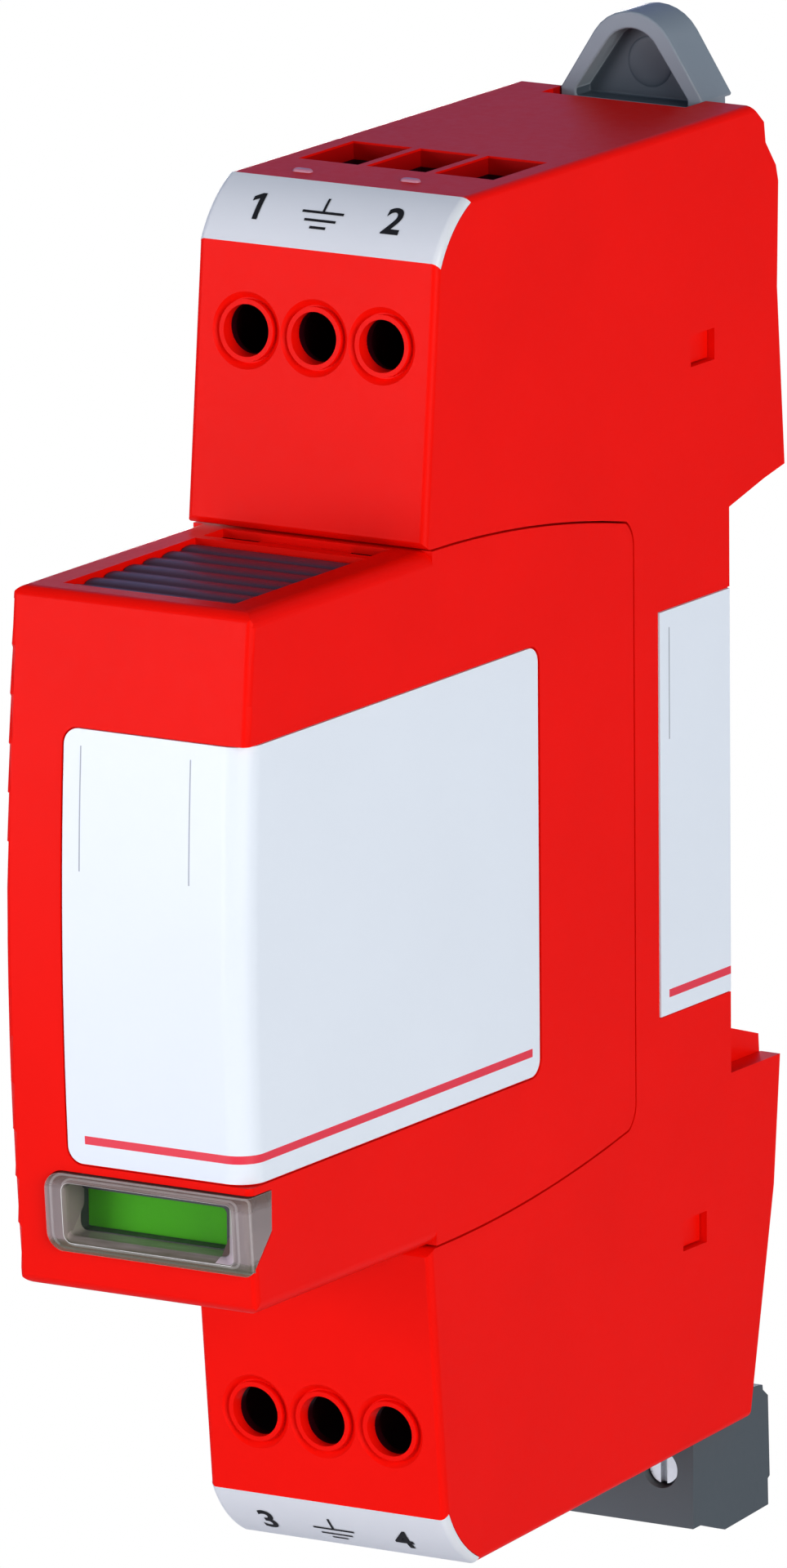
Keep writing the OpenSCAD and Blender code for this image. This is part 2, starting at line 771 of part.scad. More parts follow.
module rail_latch() {
    nose_y = rail_slot - fit_gap;
    color(grey) difference() {
        union() {
            slab(0, 2 * latch_half_w, [latch_front_y, latch_back_y], [latch_nose_z + 2, half_h - 1]);
            along_x(2 * latch_half_w) polygon([
                [nose_y, latch_nose_z + 0.8],
                [latch_back_y, latch_nose_z - latch_nose_drop],
                [latch_back_y, back_z + latch_room],
                [latch_front_y, back_z + latch_room],
                [nose_y, back_z + 0.6]]);
            translate([0, latch_front_y + latch_t + 0.8, 0]) rotate([90, 0, 0])
                linear_extrude(height = latch_t + 0.8) loop_arch(0);
        }
        translate([0, latch_front_y + 1.8, 0]) rotate([90, 0, 0]) linear_extrude(height = 10) intersection() {
            loop_arch(loop_rim);
            translate([-far / 2, half_h - 0.5]) square(far);
        }
        slab(0, 2 * spring_r + spring_wire + 0.6, [0, 10], latch_window_z);
        slab(0, 4 * latch_half_w, [latch_back_y, far], [0, half_h - 0.2]);
    }
}

// Sweeps a round wire along a helix about Z
module coil(r, wire, turns, low, high) {
    sides = 8;
    steps = 12 * turns;
    rings = [for (i = [0 : steps]) let (a = 360 * turns * i / steps, h = low + (high - low) * i / steps)
        [for (k = [0 : sides - 1]) let (b = 360 * k / sides, q = r + wire / 2 * cos(b))
            [q * cos(a), q * sin(a), h + wire / 2 * sin(b)]]];
    points = [for (ring = rings) each ring];
    walls = [for (i = [0 : steps - 1]) for (k = [0 : sides - 1]) let (n = (k + 1) % sides)
        [i * sides + k, (i + 1) * sides + k, (i + 1) * sides + n, i * sides + n]];
    polyhedron(points, concat(walls, [[for (k = [0 : sides - 1]) k],
        [for (k = [sides - 1 : -1 : 0]) steps * sides + k]]));
}

module latch_spring() {
    middle_y = (latch_front_y + latch_back_y) / 2;
    color(steel) translate([0, middle_y, 0])
        coil(spring_r, spring_wire, spring_turns,
            latch_window_z[0] + spring_wire / 2, spring_lug_z - spring_wire / 2);
}

function button_length(side) = side > 0 ? button_len : lower_button_len;

// Space that a release button sinks into, grown by g all round
module button_recess(side, g) {
    front_y = button_rear_y - button_length(side);
    upper_or_lower(side) slab(0, button_w + 2 * g, [front_y - g, button_rear_y + g],
        [button_floor - g + fit_gap, module_half_h + 1]);
}

// Trench behind a release button, with a slot at each end for the button's arms
module release_trench(side) {
    upper_or_lower(side) {
        slab(0, button_w, trench_y, [module_half_h - trench_depth, module_half_h + 1]);
        for (end = [-1, 1]) slab(end * (button_w - trench_slot_w) / 2, trench_slot_w, trench_y,
            [module_half_h - module_wall - 1, module_half_h + 1]);
    }
}

module module_housing() {
    inner = module_wall;
    color(red) difference() {
        module_form(0, module_edge_r, module_edge_r);
        difference() {
            intersection() {
                along_x(body_w - 2 * inner) union() {
                    module_profile(-inner);
                    translate([-module_rear - plate_t - 1, -module_half_h * plate_share])
                        square([2 * plate_t, 2 * module_half_h * plate_share]);
                }
                crowned_front(inner, eps * 10, eps * 10);
            }
            for (side = [-1, 1]) button_recess(side, inner + fit_gap);
            block([-half_w, -far, -module_half_h],
                [half_w, window_seat_y + window_frame_t, -window_drop + window_h / 2 + inner]);
        }
        for (side = [-1, 1]) {
            button_recess(side, fit_gap);
            release_trench(side);
            upper_or_lower(side) module_top_round(module_top_r);
        }
        difference() {
            intersection() {
                label_space(0);
                module_form(-1, module_edge_r, module_edge_r);
            }
            module_form(label_recess, module_edge_r, label_bend_r);
        }
        window_bar(fit_gap);
        block([window_left_x + 0.8, -far, -window_drop - window_h / 2 + 0.6],
            [-window_left_x - 0.2, board_front_y, -window_drop + window_h / 2 - 0.6]);
    }
}

// Plate that closes the module at the rear and holds the blades
module module_rear_plate() {
    plate_y = [-module_rear - plate_t, -module_rear];
    color(dark_plastic) difference() {
        slab(0, body_w - 2 * module_wall - 2 * fit_gap, plate_y,
            [-module_half_h * plate_share + fit_gap, module_half_h * plate_share - fit_gap]);
        for (b = blades)
            slab(b[0], bar_w, [plate_y[0] - 1, plate_y[1] + 1], [b[1] - bar_t / 2, b[1] + bar_t / 2]);
    }
}

module contact_blade(i) {
    x = blades[i][0];
    z = blades[i][1];
    color(copper) slab(x, bar_w, [board_back_y, drop_front_y - bar_t], [z - bar_t / 2, z + bar_t / 2]);
}

module contact_blade_1() { contact_blade(0); }

module contact_blade_2() { contact_blade(1); }

module contact_blade_3() { contact_blade(2); }

module contact_blade_4() { contact_blade(3); }

module contact_blade_5() { contact_blade(4); }

module module_board() {
    half = button_floor - module_wall;
    color("#2f6b3a") slab(0, board_t, [board_front_y, board_back_y], [-half, half]);
}

module gas_tube() {
    color("#d9d5cc") translate([-board_t / 2, gas_y, 0]) rotate([0, -90, 0]) {
        cylinder(r = gas_r, h = gas_len);
        for (h = [0, gas_len - gas_band]) translate([0, 0, h]) cylinder(r = gas_r + gas_rim, h = gas_band);
    }
}

module varistor(z) {
    color("#3468a8") translate([board_t / 2, varistor_y, z]) rotate([0, 90, 0])
        cylinder(r = varistor_r, h = varistor_t);
}

module varistor_1() { varistor(varistor_z); }

module varistor_2() { varistor(-varistor_z); }

module status_flag() {
    color("#43a607") slab(0, flag_w, [flag_front_y, flag_front_y + flag_t],
        [-window_drop - flag_h / 2, -window_drop + flag_h / 2]);
}

// Bar of the window, grown by g: its left corners are round and its lower rear edge is cut away
module window_bar(g) {
    top = -window_drop + window_h / 2 + g;
    low = -window_drop - window_h / 2 - g;
    left = window_left_x - g;
    r = window_corner_r + g;
    intersection() {
        translate([left + far / 2, 0, 0]) along_x(far) polygon([
            [-far, top],
            [-far, low],
            [window_front_y - window_proud, low],
            [window_seat_y, -window_drop - g],
            [window_seat_y, top]]);
        rotate([90, 0, 0]) linear_extrude(height = far) {
            translate([left + r, low]) square([far, top - low]);
            translate([left, low + r]) square([2 * r, top - low - 2 * r]);
            for (z = [low + r, top - r]) translate([left + r, z]) circle(r = r);
        }
    }
}

// Clear window that wraps onto the right side and stands a little proud
module status_window() {
    color([0.9, 0.9, 0.92, 0.4]) intersection() {
        window_bar(0);
        translate([0, -window_proud, 0]) module_form(0, module_edge_r, module_edge_r);
    }
}

module release_button(side) {
    face_z = module_half_h - button_sink - rib_h;
    length = button_length(side);
    count = floor((length - 1) / rib_pitch);
    color(dark_grey) upper_or_lower(side) {
        slab(0, button_w, [button_rear_y - length, button_rear_y], [face_z - button_t, face_z]);
        for (i = [0 : count]) let (y = button_rear_y - length / 2 + (i - count / 2) * rib_pitch)
            slab(0, button_w, [y - rib_pitch / 4, y + rib_pitch / 4], [face_z - eps, face_z + rib_h]);
    }
}

module release_button_top() { release_button(1); }

module release_button_bottom() { release_button(-1); }

module module_label() {
    color(label_white) difference() {
        intersection() {
            label_space(-label_gap);
            module_form(label_recess - label_t, module_edge_r, label_bend_r);
        }
        module_form(label_recess, module_edge_r, label_bend_r);
    }
}

// Housing of the pull-off signal plug: side outline, wire holes and screw recesses
module signal_plug_housing() {
    back = signal_front_y + signal_d;
    step_y = back_low_y + 0.8;
    color(grey) difference() {
        union() {
            along_x(2 * signal_half_w) polygon([
                [signal_front_y, signal_top_z],
                [signal_front_y, signal_low_z],
                [signal_front_y + 1, signal_low_z + 0.05],
                [signal_front_y + 4.1, signal_low_z - 0.95],
                [back - 0.2, signal_low_z - 0.5],
                [back - 0.25, signal_low_z + 1.3],
                [back, signal_low_z + 1.45],
                [back - 0.2, signal_top_z + 0.8],
                [back - 0.85, signal_top_z + 1.3],
                [back - 0.9, signal_top_z + 1.65],
                [step_y, signal_top_z + 1.95],
                [step_y, signal_top_z]]);
            slab(0, 2 * signal_half_w - 1.6, signal_tongue_y, [signal_top_z - 1, signal_tongue_z]);
        }
        for (i = [-1 : 1]) {
            x = i * signal_pitch;
            bar_y(x, signal_screw_z, signal_hole_r, [signal_front_y - 1, signal_front_y + 3]);
            slab(x, signal_cell_w, [signal_front_y + 1.4, back - 1.2],
                [signal_low_z - 2, signal_top_z - 0.6]);
            slab(x, signal_pin_w + 2 * fit_gap, [signal_pin_y[0] - fit_gap, signal_pin_y[1] + fit_gap],
                [signal_top_z - 1, signal_tongue_z + 1]);
        }
    }
}

module signal_screw(i) {
    x = i * signal_pitch;
    slot_w = 0.5;
    color(steel) difference() {
        bar_y(x, signal_screw_z, signal_screw_r, [signal_front_y + 0.5, signal_front_y + 5.6]);
        slab(x, slot_w, [signal_front_y - 1, signal_front_y + 1], [signal_screw_z - 3, signal_screw_z + 3]);
    }
}

module signal_screw_1() { signal_screw(-1); }

module signal_screw_2() { signal_screw(0); }

module signal_screw_3() { signal_screw(1); }

// Small box clamp in the signal plug
module signal_clamp(i) {
    x = i * signal_pitch;
    y = [signal_front_y + 3.2, signal_front_y + 8.2];
    color(steel) difference() {
        slab(x, signal_clamp_w, y, [signal_screw_z - 1.7, signal_screw_z + 1.6]);
        slab(x, signal_clamp_w - 2 * signal_clamp_t, [y[0] + 1.2, y[1] - 0.7],
            [signal_screw_z - 3, signal_screw_z + 3]);
        bar_y(x, signal_screw_z, signal_screw_r + run_fit, [y[0] - 1, y[0] + 2]);
    }
}

module signal_clamp_1() { signal_clamp(-1); }

module signal_clamp_2() { signal_clamp(0); }

module signal_clamp_3() { signal_clamp(1); }

// Header in the base that the signal plug slides onto
module signal_header() {
    header_y = [signal_tongue_y[0] - 0.3, signal_tongue_y[1] + 0.2];
    low_z = signal_tongue_z + 3 * fit_gap;
    color(dark_plastic) difference() {
        slab(0, 2 * (inner_half_w - fit_gap), header_y, [low_z, signal_tongue_z + 3]);
        for (i = [-1 : 1])
            slab(i * signal_pitch, signal_pin_w, signal_pin_y, [low_z - 1, signal_tongue_z + 4]);
    }
}

module signal_pins() {
    color(steel) for (i = [-1 : 1])
        slab(i * signal_pitch, signal_pin_w, signal_pin_y, [signal_tongue_z - 6.5, signal_tongue_z + 4]);
}

module signal_switch() {
    back = signal_tongue_y[0] - 0.3 - fit_gap;
    color("#202224") slab(0, signal_switch_w, [back - signal_switch_d, back],
        [signal_tongue_z + 3 * fit_gap, signal_tongue_z + signal_switch_h]);
}

base_housing();
rear_cover();
contact_carrier();
marker_strip_upper();
marker_strip_lower();
base_label();
busbar_line_1();
busbar_line_2();
busbar_line_3();
busbar_line_4();
busbar_earth();
terminal_screw_1();
terminal_screw_2();
terminal_screw_3();
terminal_screw_4();
terminal_screw_5();
terminal_screw_6();
clamp_cage_1();
clamp_cage_2();
clamp_cage_3();
clamp_cage_4();
clamp_cage_5();
clamp_cage_6();
rail_latch();
latch_spring();
module_housing();
module_rear_plate();
module_board();
contact_blade_1();
contact_blade_2();
contact_blade_3();
contact_blade_4();
contact_blade_5();
gas_tube();
varistor_1();
varistor_2();
status_flag();
status_window();
release_button_top();
release_button_bottom();
module_label();
signal_plug_housing();
signal_screw_1();
signal_screw_2();
signal_screw_3();
signal_clamp_1();
signal_clamp_2();
signal_clamp_3();
signal_header();
signal_pins();
signal_switch();
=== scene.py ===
"""Looks of the rail-mounted surge arrester: finishes, print, status lens, soft edges, studio and camera."""
import json
import math

import bmesh
import bpy
from mathutils import Matrix, Vector


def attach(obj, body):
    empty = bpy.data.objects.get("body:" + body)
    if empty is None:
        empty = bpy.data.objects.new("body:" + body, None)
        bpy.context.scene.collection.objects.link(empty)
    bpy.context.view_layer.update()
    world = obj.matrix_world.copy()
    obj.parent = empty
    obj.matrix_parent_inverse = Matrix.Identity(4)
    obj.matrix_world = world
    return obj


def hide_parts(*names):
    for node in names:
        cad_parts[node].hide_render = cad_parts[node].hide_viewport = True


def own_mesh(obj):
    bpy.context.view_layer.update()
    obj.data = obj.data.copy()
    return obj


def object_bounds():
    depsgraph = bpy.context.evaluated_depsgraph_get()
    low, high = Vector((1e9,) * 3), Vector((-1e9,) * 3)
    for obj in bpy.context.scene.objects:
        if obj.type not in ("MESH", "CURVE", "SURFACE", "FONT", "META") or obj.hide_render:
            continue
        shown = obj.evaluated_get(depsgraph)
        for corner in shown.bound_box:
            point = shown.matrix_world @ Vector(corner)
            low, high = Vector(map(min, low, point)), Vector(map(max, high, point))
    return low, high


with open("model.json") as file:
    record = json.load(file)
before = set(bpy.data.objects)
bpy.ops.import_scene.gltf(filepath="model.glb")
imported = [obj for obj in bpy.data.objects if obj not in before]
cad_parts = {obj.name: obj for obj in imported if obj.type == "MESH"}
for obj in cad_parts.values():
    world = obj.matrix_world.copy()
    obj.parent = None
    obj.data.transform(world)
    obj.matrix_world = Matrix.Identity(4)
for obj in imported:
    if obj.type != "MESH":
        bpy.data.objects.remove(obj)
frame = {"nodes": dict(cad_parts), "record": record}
cad_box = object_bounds()

MM = 0.001
NODES = frame["nodes"]
SLOTS = {p["node"]: p["material_slot"] for p in frame["record"]["subparts"]}

# Camera, as measured on the photograph
IMAGE_H = 1920
FOCAL_PX = 25532
CAMERA_AZIMUTH = math.radians(31.768)
CAMERA_ELEVATION = math.radians(12.76)
CAMERA_ROLL = math.radians(-0.41)
CAMERA_DISTANCE = 1349 * MM
CAMERA_TARGET = Vector((-1.576, -24.8, 4.023)) * MM
SENSOR = 36.0

# Studio: the part hangs on its rail above the floor, with room under it for the signal plug to be pulled
FLOOR_DROP = 60 * MM
FLOOR_HALF = 6.0
FLOOR_TONES = ((0.8, 0.8, 0.8), (0.84, 0.84, 0.84))
FLOOR_LIGHT = 0.12
ROOM_COLOUR = (0.5, 0.68, 1.0)
ROOM_LIGHT = 0.28
WHITE = (1.0, 1.0, 1.0)

# Soft boxes: place and side in metres, power in watts, colour
LIGHT_TARGET = (0, -0.03, 0)
SOFT_BOXES = {
    "key": ((0.8, -0.4, 0.22), 0.5, 6.4, (1.0, 0.98, 0.93)),
    "front": ((-0.5, -0.82, 0.05), 0.5, 5.5, (0.96, 0.93, 1.0)),
    "rim": ((-0.47, 0.76, 0.25), 0.6, 0.6, (0.4, 0.42, 1.0)),
    "back": ((-0.55, 0.75, -0.03), 0.14, 3.0, WHITE),
    "low": ((-0.2, -0.7, -0.1), 0.2, 0.8, WHITE),
}

# Colours, linear
RED = (0.8, 0.0035, 0.0008)
# Painted shade deep inside the terminal chambers and the module's arm slots
SHADE_RED = (0.03, 0.001, 0.004)
# Painted shade on the walls of the wire funnels and in the latch gaps
FUNNEL_SHADE_RED = (0.42, 0.002, 0.002)
GREY = (0.21, 0.245, 0.28)
# Painted shade in the pull loop's pocket
POCKET_SHADE_GREY = (0.055, 0.072, 0.09)
CONNECTOR_GREY = (0.064, 0.077, 0.086)
# Dark grey button plastic with a painted reddish reflection of the housing in it
BUTTON_SHEEN_GREY = (0.07, 0.03, 0.05)
DARK = (0.03, 0.032, 0.036)
LABEL_WHITE = (0.71, 0.75, 0.8)
STRIP_WHITE = (0.66, 0.67, 0.69)
STRIPE_RED = (0.72, 0.02, 0.045)
LINE_GREY = (0.3, 0.32, 0.35)
INK = (0.012, 0.012, 0.014)
# Painted highlight: pale pink on the strip nibs' front slopes
NIB_HIGHLIGHT_PINK = (0.55, 0.2, 0.28)
GREEN = (0.07, 0.5, 0.003)
COPPER = (0.75, 0.42, 0.24)
STEEL = (0.62, 0.63, 0.65)
# Painted shade: steel darkened so the screws and clamp cages read as the dark deep terminal holes
SHADED_STEEL = (0.16, 0.15, 0.16)
BOARD_GREEN = (0.03, 0.16, 0.06)
CERAMIC = (0.74, 0.71, 0.65)
VARISTOR_BLUE = (0.04, 0.13, 0.38)
LENS_OLIVE = (0.12, 0.11, 0.07)
LENS_PINK = (0.36, 0.29, 0.28)
# Painted shade, for the lens's dark top and for the shadowed lens corner painted on the housing
LENS_SHADE_BROWN = (0.2, 0.13, 0.11)
# Painted highlight on the lens's rounded edges and edge beads
LENS_EDGE_HIGHLIGHT = (0.85, 0.82, 0.8)
# Painted pink glint at the lens's right end
LENS_GLINT_PINK = (0.62, 0.5, 0.53)
PANE_TINT = (0.04, 0.05, 0.04)

# Moulded surfaces: noise in cycles per millimetre, and how far the roughness wanders
FLOW_SCALE = 0.09
GLOSS_SCALE = 1.7
GRAIN_SCALE = 9.0
GLOSS_SPREAD = 0.06

# Edges of the CAD pieces: weld distance and rounding widths in millimetres, angles in degrees
WELD_GAP = 0.002
FLAT_ANGLE = 0.5
EDGE_ANGLE = 35
EDGE_SEGMENTS = 3
SMOOTH_ANGLE = 30
SOFT_EDGES = {
    "base_housing": 0.2,
    "rear_cover": 0.15,
    "module_housing": 0.25,
    "rail_latch": 0.15,
    "signal_plug_housing": 0.2,
}

# Print, and painted shade in the hollows and behind the lens, as ranges of X, Y and Z in millimetres
ANY = (-100, 100)
# Painted shade inside the terminal chambers
TERMINAL_CHAMBERS = [((-7.6, 7.6), (-35.7, -15), z) for z in ((25, 43.8), (-43.8, -25))]
# Painted shade on the funnel walls
FUNNELS = [((-7.9, 7.9), (-30, -15), z) for z in ((43.8, 44.85), (-44.85, -43.8))]
# Painted shade on the back wall and the foot of the pull loop's pocket; the steps follow its arch
LOOP_STEPS = [(4.4, 44.4, 45.6), (4.0, 45.6, 46.6), (3.3, 46.6, 47.6), (2.6, 47.6, 48.6), (1.9, 48.6, 49.4)]
LOOP_FOOT = ((-4.3, 4.3), (2.9, 4.6), (44.3, 44.98))
LOOP_POCKET = [*(((-x, x), (4.5, 4.6), (low, high)) for x, low, high in LOOP_STEPS), LOOP_FOOT]
# Painted shade in the gaps beside the latch
LATCH_GAPS = [(x, (2, 8), (43.5, 44.99)) for x in ((-6.5, -5.3), (5.3, 6.5))]
# Painted shade on the housing's corner behind the lens's low right end, standing in for a shadowed lens corner
LENS_SEAT_SHADE = ((6.1, 8.9), (-59.4, -56.9), (-19.9, -15))
# Painted shade in the module's arm slots
ARM_SLOTS = [(x, (-40.15, -37.65), z)
             for x in ((-6.35, -3.35), (3.35, 6.35)) for z in ((15, 22.25), (-22.25, -15))]
MODULE_STRIPE = ((-3.4, 100), (-100, -24.9), (-12.85, -12.3))
MODULE_RULES = [(x, (-100, -57), (5, 13.1)) for x in ((-3.46, -3.36), (4.75, 4.85))]
BASE_STRIPE = (ANY, (-7.95, 100), (-12.37, -11.83))
BASE_RULES = [(ANY, (-7.87, -7.75), (4.9, 12.35))]

# Marker strips, in millimetres: middle of the upper one's bed in Y and Z, its half width, and its face's radius
STRIP_MIDDLE = (-34.25, 43.15)
STRIP_HALF = 2.616
STRIP_BOW_R = 8.325
STRIP_PRINT_X = (-5.5, -0.5, 4.8)
DIGIT_H = 2.05
DIGIT_WEIGHT = 0.022
INK_LIFT = 0.03
PRINT_CUT = 0.2
PRINT_CUTS = 6

# Status window, in millimetres: crown of the module's front, ranges of X and Z, and left and right corner radii
CROWN_Y = -59.9
CROWN_R = 203
LENS_Z = (-20.1, -14.9)
# Painted reflections and shade on the lens by height: olive at the foot, pink in the middle, dark brown at the
# top
LENS_REFLECTION_TONES = [(0.1, LENS_OLIVE), (0.2, LENS_PINK), (0.8, LENS_PINK), (0.93, LENS_SHADE_BROWN)]
LENS_STREAKS = (0.25, 1.0, 2.5)
# Painted pink glint on the lens walls at its right end
LENS_END_GLINT = ((6.2, 7.6), (-59.25, -57), ANY)
LENS_EDGE_W = 0.22
LENS_OPENING = ((-5.1, 7.65), (-19.5, -15.5))
OPENING_R = (0.6, 0.4)
OPENING_EDGE_W = 0.1
OPENING_EDGE_ANGLE = 60
CUTTER_Y = (-70, -50)
SLEEVE = [
    (LENS_OPENING, -59.3),
    (((-5.15, 6.9), (-19.2, -15.6)), -58.6),
    (((-5.25, 6.1), (-19.15, -15.9)), -57.1),
]
SLEEVE_R = (0.5, 0.4)
SLEEVE_T = 0.08
BEZELS = {
    "lens_bezel": (((-5.3, 7.8), (-19.7, -15.3)), (-57.1, -56.95)),
    "lens_bezel_tube": (((-5.5, 6.1), (-19.45, -15.55)), (-56.95, -56.1)),
}
BEZEL_R = (0.5, 0.5)
BEZEL_OPENING = ((-5.3, 5.75), (-19.1, -16.4))
BEZEL_OPENING_R = (0.15, 0.4)
# Pale beads that paint the highlight lines along the lens's outline and opening
LENS_HIGHLIGHT_LINES = {
    "lens_highlight_outer": (((-6.15, 8.85), (-19.95, -15.05)), (1.0, 0.3)),
    "lens_highlight_inner": (((-5.3, 7.85), (-19.7, -15.3)), (0.8, 0.5)),
}
LENS_LINE_R = 0.09
PANE_SINK = 0.15
PANE_T = 0.3

# Grip pads of the release buttons, in millimetres; the heights are the foot, the valleys and the crests
GRIP_REAR = -41
GRIP_PITCH = 2.3
GRIP_RIB_R = 0.36 * GRIP_PITCH
GRIP_RIB_STEPS = 8
GRIP_HALF_W = 6.3
GRIP_Z = (20.85, 22.3, 22.5)
GRIP_EDGE_W = 0.12
GRIP_EDGE_ANGLE = 50

# Side, front end and rib count of each pad
GRIPS = {"top": (1, -56.5, 7), "bottom": (-1, -53, 5)}

# Latch spring, in millimetres
SPRING_MIDDLE_Y = 4.25
SPRING_R = 1.15
SPRING_WIRE_R = 0.25
SPRING_Z = (28.0, 38.0)
SPRING_TURNS = 6
SPRING_STEPS = 36
SPRING_SIDES = 12

# Small marks, in millimetres
NIBS = [(-4.74, -30.2, 45), (3.01, -29.6, 45)]
NIB = ((-0.7, 0.7), (-0.3, 0.3))
NIB_R = (0.25, 0.25)
NIB_H = 0.2
EJECTOR_MARK = (0.4, 4.55, 46.9)
EJECTOR_R = 1.7
EJECTOR_H = 0.06
EJECTOR_POINTS = 48
MOUND_STEPS = 4
MOUND_SHRINK = 0.35


def new_material(name):
    """A material with its node tree, Principled shader and object coordinates in millimetres."""
    material = bpy.data.materials.new(name)
    material.use_nodes = True
    nodes = material.node_tree.nodes
    shader = nodes["Principled BSDF"]
    coords = nodes.new("ShaderNodeTexCoord")
    scale = nodes.new("ShaderNodeVectorMath")
    scale.operation = "SCALE"
    scale.inputs["Scale"].default_value = 1 / MM
    material.node_tree.links.new(coords.outputs["Object"], scale.inputs[0])
    return material, nodes, material.node_tree.links, shader, scale.outputs[0]


def noise(nodes, links, where, scale, detail=3.0):
    """A noise texture, with scale in cycles per millimetre."""
    node = nodes.new("ShaderNodeTexNoise")
    node.inputs["Scale"].default_value = scale
    node.inputs["Detail"].default_value = detail
    links.new(where, node.inputs["Vector"])
    return node.outputs["Fac"]


def spread(nodes, links, value, low, high):
    """Maps a 0 to 1 value to low to high."""
    node = nodes.new("ShaderNodeMapRange")
    node.inputs["To Min"].default_value = low
    node.inputs["To Max"].default_value = high
    links.new(value, node.inputs["Value"])
    return node.outputs["Result"]


def mix(nodes, links, amount, a, b):
    """Mixes two colours by a value. Each colour is a tuple or a socket."""
    node = nodes.new("ShaderNodeMix")
    node.data_type = "RGBA"
    links.new(amount, node.inputs["Factor"])
    for socket, colour in ((node.inputs["A"], a), (node.inputs["B"], b)):
        if isinstance(colour, tuple):
            socket.default_value = (*colour, 1)
        else:
            links.new(colour, socket)
    return node.outputs["Result"]


def math_node(nodes, links, operation, a, b=None):
    """A Math node; each input is a number or a socket."""
    node = nodes.new("ShaderNodeMath")
    node.operation = operation
    for socket, value in zip(node.inputs, (a, b)):
        if value is None:
            continue
        if isinstance(value, (int, float)):
            socket.default_value = value
        else:
            links.new(value, socket)
    return node.outputs[0]


def band(nodes, links, value, low, high):
    """1 where value lies between low and high, else 0."""
    above = math_node(nodes, links, "GREATER_THAN", value, low)
    below = math_node(nodes, links, "LESS_THAN", value, high)
    return math_node(nodes, links, "MULTIPLY", above, below)


def bump(nodes, links, shader, height, distance, strength=1.0):
    """Raises the surface by a height field; distance is in millimetres."""
    node = nodes.new("ShaderNodeBump")
    node.inputs["Strength"].default_value = strength
    node.inputs["Distance"].default_value = distance * MM
    links.new(height, node.inputs["Height"])
    links.new(node.outputs["Normal"], shader.inputs["Normal"])


def printed(nodes, links, where, tone, marks):
    """Lays marks, each a colour and its ranges of X, Y and Z, over a tone."""
    split = nodes.new("ShaderNodeSeparateXYZ")
    links.new(where, split.inputs[0])
    for colour, ranges in marks:
        inside = [band(nodes, links, axis, low, high) for axis, (low, high) in zip(split.outputs, ranges)]
        mask = math_node(nodes, links, "MULTIPLY", inside[1], inside[2])
        mask = math_node(nodes, links, "MULTIPLY", inside[0], mask)
        tone = mix(nodes, links, mask, tone, colour)
    return tone


def moulded(name, colour, roughness, grain, shade=0.06, specular=0.5, marks=()):
    """Moulded plastic: fine spark-eroded grain, faint flow shading and uneven gloss."""
    material, nodes, links, shader, where = new_material(name)
    flow = noise(nodes, links, where, FLOW_SCALE, 2.0)
    darker = tuple(c * (1 - shade) for c in colour)
    lighter = tuple(min(1, c * (1 + shade)) for c in colour)
    tone = mix(nodes, links, flow, darker, lighter)
    links.new(printed(nodes, links, where, tone, marks), shader.inputs["Base Color"])
    gloss = noise(nodes, links, where, GLOSS_SCALE, 4.0)
    uneven = spread(nodes, links, gloss, roughness - GLOSS_SPREAD, roughness + GLOSS_SPREAD)
    links.new(uneven, shader.inputs["Roughness"])
    shader.inputs["Specular IOR Level"].default_value = specular
    bump(nodes, links, shader, noise(nodes, links, where, GRAIN_SCALE, 4.0), grain, 0.5)
    return material


def metal(name, colour, roughness):
    """Plated metal with fine rolling marks."""
    material, nodes, links, shader, where = new_material(name)
    tone = noise(nodes, links, where, 2.5, 4.0)
    links.new(mix(nodes, links, tone, tuple(c * 0.85 for c in colour), colour), shader.inputs["Base Color"])
    links.new(spread(nodes, links, tone, roughness - 0.08, roughness + 0.08), shader.inputs["Roughness"])
    shader.inputs["Metallic"].default_value = 1.0
    bump(nodes, links, shader, noise(nodes, links, where, 14.0), 0.004, 0.4)
    return material


def clear_plastic(name, colour, alpha, specular=0.5):
    """Clear moulded plastic that lets the light through by its alpha."""
    material, nodes, links, shader, where = new_material(name)
    flow = noise(nodes, links, where, 0.6)
    links.new(mix(nodes, links, flow, tuple(c * 0.9 for c in colour), colour), shader.inputs["Base Color"])
    links.new(spread(nodes, links, noise(nodes, links, where, 0.8), 0.04, 0.12), shader.inputs["Roughness"])
    shader.inputs["Specular IOR Level"].default_value = specular
    shader.inputs["Alpha"].default_value = alpha
    return material


